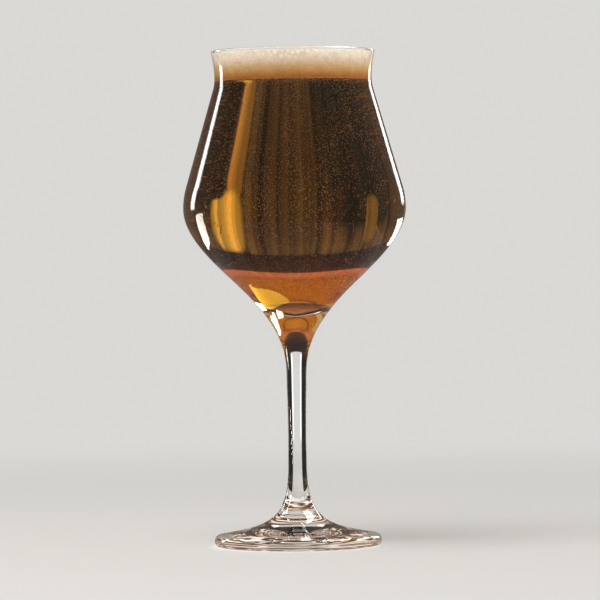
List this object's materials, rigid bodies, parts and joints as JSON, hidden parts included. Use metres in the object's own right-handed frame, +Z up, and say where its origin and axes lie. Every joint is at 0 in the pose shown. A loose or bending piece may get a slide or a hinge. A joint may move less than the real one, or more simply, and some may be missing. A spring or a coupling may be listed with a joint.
{
  "type": "stemmed beer glass",
  "caption": "Stemmed beer glass with a tulip bowl, waisted neck and flared lip on a slim stem and domed foot, filled with amber beer under a head of foam.",
  "frame": {"origin": "on the table under the middle of the foot, where the axis of the glass meets the plane of the foot's standing ring", "axes": "+Z up along the axis of the glass, from the foot to the rim; X and Y lie on the table and are interchangeable because the glass is round"},
  "size_m": [0.0912, 0.0912, 0.203],
  "materials": {
    "clear_glass": "clear colourless fire-polished glass",
    "amber_beer": "clear amber liquid with fine rising bubbles",
    "beer_foam": "matt off-white foam, tan towards the beer"
  },
  "bodies": {
    "root": {"bowl": "clear_glass", "stem": "clear_glass", "foot": "clear_glass", "beer": "amber_beer", "foam_head": "beer_foam"}
  },
  "joints": []
}
